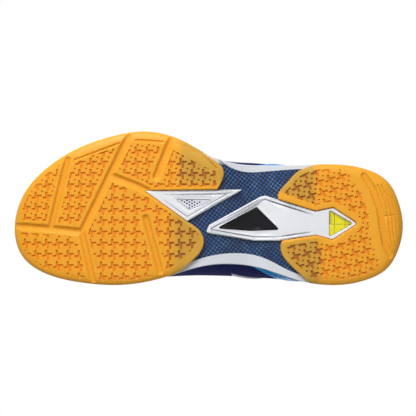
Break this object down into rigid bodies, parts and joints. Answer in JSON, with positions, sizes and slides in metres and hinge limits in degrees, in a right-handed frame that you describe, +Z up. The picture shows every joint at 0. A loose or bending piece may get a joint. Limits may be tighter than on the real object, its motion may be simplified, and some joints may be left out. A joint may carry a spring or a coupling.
{
  "type": "court shoe",
  "caption": "Left indoor court shoe with gum rubber tread, woven shank plate, white arch cover, mesh upper, laces, tongue and removable sock liner.",
  "frame": {"origin": "on the ground, under the middle of the shoe's box", "axes": "+Y to the heel, -Y to the toe, +X to the outer side of the foot, +Z up"},
  "size_m": [0.1135, 0.2894, 0.1147],
  "materials": {
    "gum_rubber": "satin translucent gum rubber",
    "white_foam": "moulded foam, matt",
    "woven_composite": "glossy woven fibre plate, blue and black",
    "white_plastic": "satin moulded plastic",
    "black_inlay": "fine woven black film",
    "yellow_lens": "clear yellow plastic",
    "yellow_gel": "soft moulded gel",
    "white_net": "coarse net",
    "cushion_foam": "dense foam sheet",
    "board_fabric": "stitched board",
    "liner_fabric": "knitted top cloth on foam",
    "navy_mesh": "double-layer sports mesh",
    "dark_lining": "soft brushed lining",
    "collar_foam": "open foam",
    "binding": "folded tape",
    "stiffener": "heat-formed board",
    "navy_film": "smooth synthetic leather",
    "cyan_film": "glossy film",
    "white_film": "smooth synthetic leather",
    "eyelet_plastic": "moulded ring",
    "lace_cord": "flat woven lace"
  },
  "bodies": {
    "shoe": {"forefoot_outsole": "gum_rubber", "heel_outsole": "gum_rubber", "midsole": "white_foam", "shank_plate": "woven_composite", "arch_blade": "white_plastic", "badge_insert": "black_inlay", "heel_window": "yellow_lens", "heel_cushion": "yellow_gel", "forefoot_cushion": "cushion_foam", "forefoot_vent_plate": "white_plastic", "forefoot_vent_mesh": "white_net", "strobel_board": "board_fabric", "vamp": "navy_mesh", "lateral_quarter": "navy_mesh", "medial_quarter": "navy_mesh", "vamp_lining": "dark_lining", "heel_lining": "dark_lining", "collar_padding": "collar_foam", "topline_binding": "binding", "heel_counter": "stiffener", "toe_puff": "stiffener", "toe_overlay": "white_film", "drag_guard": "navy_film", "heel_stabiliser": "white_film", "heel_pull_strip": "cyan_film", "lateral_eyestay": "navy_film", "medial_eyestay": "navy_film", "eyelets": "eyelet_plastic", "lateral_stripes": "cyan_film", "medial_stripes": "cyan_film", "laces": "lace_cord"},
    "tongue": {"tongue_cover": "navy_mesh", "tongue_foam": "collar_foam", "tongue_lining": "dark_lining"},
    "liner": {"sock_liner": "liner_fabric"}
  },
  "joints": [
    {"name": "tongue_fold", "type": "hinge", "parent": "shoe", "child": "tongue", "pos_m": [-0.0075, -0.0575, 0.0545], "axis": [1, 0, 0], "range_deg": [-12, 0]},
    {"name": "liner_lift", "type": "hinge", "parent": "shoe", "child": "liner", "pos_m": [-0.0075, -0.1345, 0.0255], "axis": [1, 0, 0], "range_deg": [0, 3]}
  ]
}
